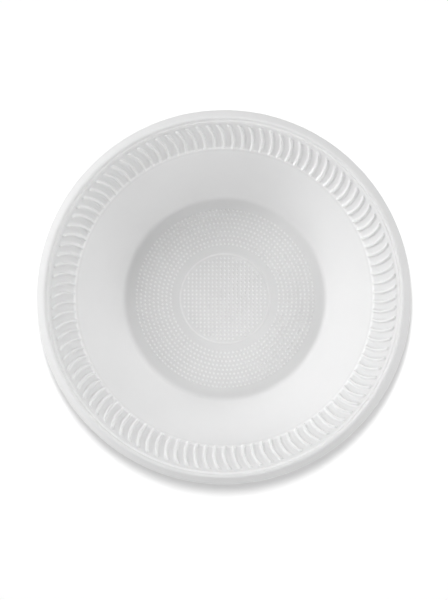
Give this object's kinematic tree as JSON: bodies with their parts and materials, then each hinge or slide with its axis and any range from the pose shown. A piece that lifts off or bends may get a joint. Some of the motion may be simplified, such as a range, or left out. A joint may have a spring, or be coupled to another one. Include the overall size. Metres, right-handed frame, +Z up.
{
  "type": "disposable bowl",
  "caption": "Round disposable foam bowl with a flat dotted floor, a plain sloping wall, a band of curved ribs and a turned-down lip.",
  "frame": {"origin": "centre of the underside, on the surface the bowl stands on", "axes": "+Z up along the bowl's axis, out of its mouth; +X midway between two ribs"},
  "size_m": [0.152, 0.152, 0.042],
  "materials": {
    "foam": "white moulded foam, satin, slightly soft edges"
  },
  "bodies": {
    "root": {"bowl": "foam"}
  },
  "joints": []
}
